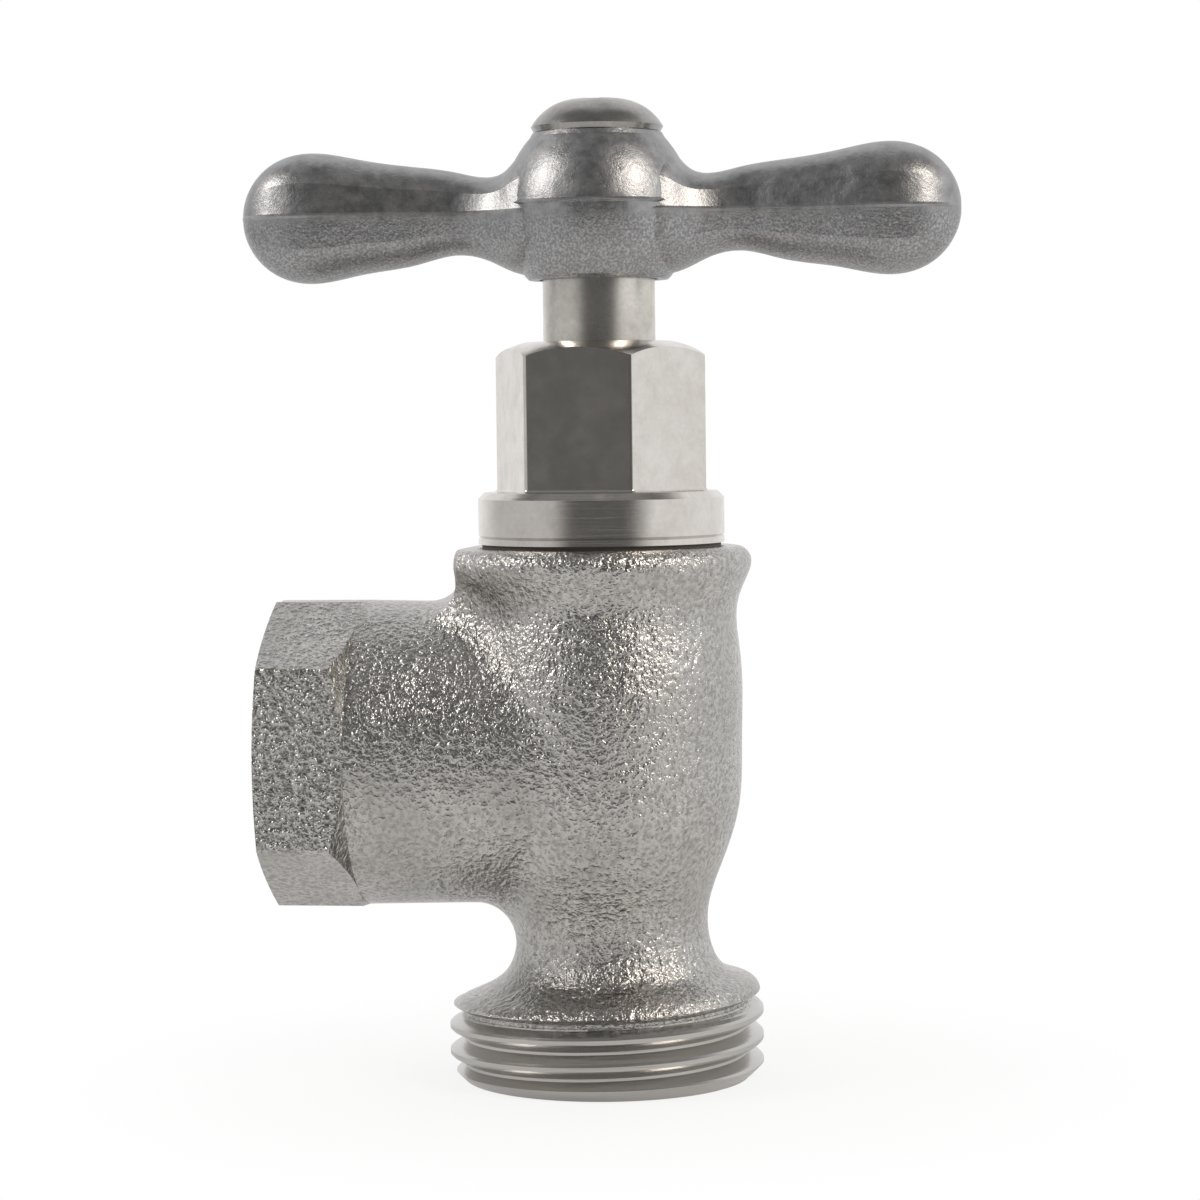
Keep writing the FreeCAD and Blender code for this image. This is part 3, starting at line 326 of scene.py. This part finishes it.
def floor():
    """A pale floor under the outlet. To the eye it is mostly its own white, and in the metal
    partly, so the object's shadow stays faint."""
    bpy.ops.object.select_all(action="DESELECT")
    bpy.ops.mesh.primitive_circle_add(vertices=96, radius=FLOOR_RADIUS * MM, fill_type="NGON",
                                      location=(STEM_X * MM, 0, OUTLET_END * MM))
    bpy.ops.object.transform_apply(location=True, rotation=False, scale=False)
    ground = bpy.context.object
    ground.name = "floor"
    material, tree, bsdf = new_material("pale_floor", Roughness=0.9, Base_Color="#e9e8e6")
    white = add(tree, "Emission", Color="#ffffff", Strength=1.0)
    rays = add(tree, "LightPath").outputs
    mirrored = add(tree, "Math", operation="MAXIMUM",
                   Value=[rays["Is Glossy Ray"], rays["Is Transmission Ray"]])
    faint = add(tree, "Math", operation="MULTIPLY", Value=[mirrored, FLOOR_IN_METAL])
    seen = add(tree, "Math", operation="MAXIMUM", Value=[rays["Is Camera Ray"], faint])
    x, y, _ = add(tree, "SeparateXYZ", Vector=about_stem(tree)).outputs
    start, end = SHADE_EDGE
    whiter = add(tree, "MapRange", Value=from_axis(tree, x, y), From_Min=start, From_Max=end,
                 To_Min=1 - FLOOR_SHADE)
    share = add(tree, "Math", operation="MULTIPLY", Value=[seen, whiter])
    mixed = add(tree, "MixShader", Fac=share, Shader=[bsdf, white])
    fill(tree, tree.nodes["Material Output"].inputs["Surface"], mixed)
    ground.data.materials.append(material)


def surroundings():
    """A white tent with a dark gap where the camera stands and a dim roof, all white to the eye."""
    world = bpy.data.worlds.new("studio")
    bpy.context.scene.world = world
    world.use_nodes = True
    tree = world.node_tree
    towards = add(tree, "TexCoord").outputs["Generated"]
    turn = (0, 0, math.radians(-CAMERA_AZIMUTH))
    turned = add(tree, "Mapping", Vector=towards, Rotation=turn)
    x, y, z = add(tree, "SeparateXYZ", Vector=turned).outputs
    ahead = add(tree, "Math", operation="MULTIPLY", Value=[y, -1.0])
    radians = add(tree, "Math", operation="ARCTAN2", Value=[x, ahead])
    angle = add(tree, "Math", operation="DEGREES", Value=radians)
    # Its walls: dark in front, greyer on the left, white on the right and behind
    open_left = add(tree, "MapRange", Value=angle, From_Min=GAP_LEFT[0], From_Max=GAP_LEFT[1])
    open_right = add(tree, "MapRange", Value=angle, From_Min=GAP_RIGHT[1], From_Max=GAP_RIGHT[0])
    gap = add(tree, "Math", operation="MULTIPLY", Value=[open_left, open_right])
    sides = add(tree, "MapRange", Value=angle, From_Min=-SIDES_MEET, From_Max=SIDES_MEET,
                To_Min=LEFT_LEVEL, To_Max=RIGHT_LEVEL)
    off_front = add(tree, "Math", operation="ABSOLUTE", Value=angle)
    behind = add(tree, "MapRange", Value=off_front, From_Min=BEHIND[0], From_Max=BEHIND[1])
    tent = add(tree, "Mix", Factor=behind, A=sides, B=1.0)
    walls = add(tree, "Mix", Factor=gap, A=tent, B=GAP_LEVEL)
    # The backdrop is pulled higher than the walls
    higher = add(tree, "Math", operation="MULTIPLY", Value=[behind, BACKDROP_RISE])
    rise = add(tree, "Math", operation="SUBTRACT", Value=[z, higher])
    roof = add(tree, "MapRange", Value=rise, From_Min=ROOF_RISE[0], From_Max=ROOF_RISE[1])
    light = add(tree, "Mix", Factor=roof, A=walls, B=ROOF_LEVEL)
    seen = add(tree, "LightPath").outputs["Is Camera Ray"]
    background = tree.nodes["Background"]
    fill(tree, background.inputs["Color"], "#ffffff")
    fill(tree, background.inputs["Strength"], add(tree, "Mix", Factor=seen, A=light, B=1.0))


def lamp(name, azimuth, height, reach, size, power, colour):
    """A soft square lamp that faces the object, placed by its angle round from the camera."""
    data = bpy.data.lights.new(name, "AREA")
    data.shape = "SQUARE"
    data.size = size * MM
    data.energy = power
    data.color = linear(colour)[:3]
    softbox = bpy.data.objects.new(name, data)
    bpy.context.scene.collection.objects.link(softbox)
    turn, rise = math.radians(CAMERA_AZIMUTH + azimuth), math.radians(height)
    flat = math.cos(rise)
    away = Vector((math.sin(turn) * flat, -math.cos(turn) * flat, math.sin(rise)))
    middle = Vector((STEM_X, 0, VIEW_CENTRE_Z))
    softbox.location = (middle + away * reach) * MM
    softbox.rotation_euler = away.to_track_quat("Z", "Y").to_euler()


def camera():
    """The photograph's view: a little from the right and above, rolled by a hair."""
    data = bpy.data.cameras.new("camera")
    eye = bpy.data.objects.new("camera", data)
    bpy.context.scene.collection.objects.link(eye)
    turn = math.radians(CAMERA_AZIMUTH)
    target = Vector((VIEW_CENTRE_X, 0, VIEW_CENTRE_Z))
    right, back = CAMERA_REACH * math.sin(turn), CAMERA_REACH * math.cos(turn)
    stand = Vector((STEM_X + right, -back, CAMERA_HEIGHT))
    aim = target - stand
    data.angle = 2 * math.atan(VIEW_WIDTH / 2 / aim.length)
    data.clip_start = 0.01
    facing = aim.to_track_quat("-Z", "Y").to_matrix().to_4x4()
    roll = Matrix.Rotation(math.radians(-CAMERA_ROLL), 4, "Z")
    eye.matrix_world = Matrix.Translation(stand * MM) @ facing @ roll
    bpy.context.scene.camera = eye


dress(cast_nickel(), "valve_body")
dress(turned_nickel("turned_bonnet_nickel", "#d6d2cd", "#c5c0ba", rough=0.20, spacing=0.30,
                    depth=0.018, lines_below=GASKET_TOP + COLLAR_HEIGHT), "bonnet")
dress(turned_nickel("turned_stem_nickel", "#d2cec8", "#b3afa9", rough=0.28, spacing=0.5,
                    depth=0.004), "stem")
dress(turned_nickel("nickel_plated_steel", "#a3a19e", "#868481", rough=0.24, spacing=0.6,
                    depth=0.008), "handle_screw")
dress(die_cast_zinc(), "handle")
dress(hidden_finish("vulcanised_fibre", "#5a544d", rough=0.7), "bonnet_gasket")
dress(hidden_finish("nitrile_rubber", "#1c1c1c", rough=0.6),
      "lower_o_ring", "upper_o_ring", "seat_washer")
dress(hidden_finish("turned_brass", "#b89a5a", rough=0.3, metallic=1.0),
      "washer_holder", "washer_screw")
dress(hidden_finish("phosphor_bronze", "#b07a4a", rough=0.3, metallic=1.0), "swivel_clip")

floor()
surroundings()
lamp("left_box", azimuth=-80, height=36, reach=520, size=200, power=0.85, colour="#fffaf4")
lamp("right_box", azimuth=52, height=38, reach=520, size=180, power=0.95, colour="#fff5e8")
camera()

bpy.context.scene.view_settings.view_transform = "Standard"
